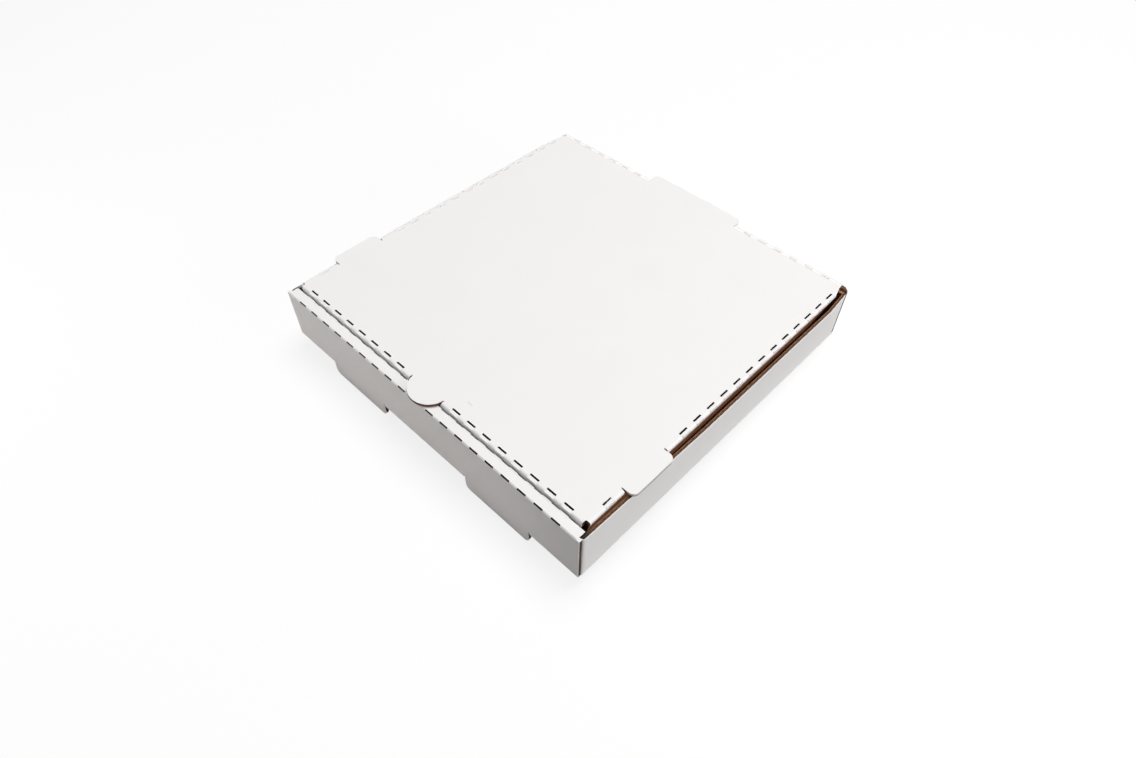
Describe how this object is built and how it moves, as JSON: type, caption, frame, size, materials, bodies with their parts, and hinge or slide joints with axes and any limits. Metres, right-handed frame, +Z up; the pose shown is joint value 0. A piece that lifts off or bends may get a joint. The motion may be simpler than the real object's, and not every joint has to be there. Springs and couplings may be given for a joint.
{
  "type": "pizza box",
  "caption": "Closed square pizza box of white-faced corrugated board, with a hinged lid, a double front wall and two feet",
  "frame": {"origin": "under the middle of the whole outline, tabs included, at the height of the feet's lower edges", "axes": "+X across the box, +Y from the thumb tab to the hinge, +Z up out of the lid's top"},
  "size_m": [0.2694, 0.2682, 0.052],
  "materials": {
    "board": "matt white outer liner, brown kraft inner liner and fluting at the raw edges"
  },
  "bodies": {
    "tray": {"tray": "board"},
    "lid": {"lid": "board"}
  },
  "joints": [
    {"name": "lid_hinge", "type": "hinge", "parent": "tray", "child": "lid", "pos_m": [0, 0.12575, 0.0509], "axis": [-1, 0, 0], "range_deg": [0, 180]}
  ]
}
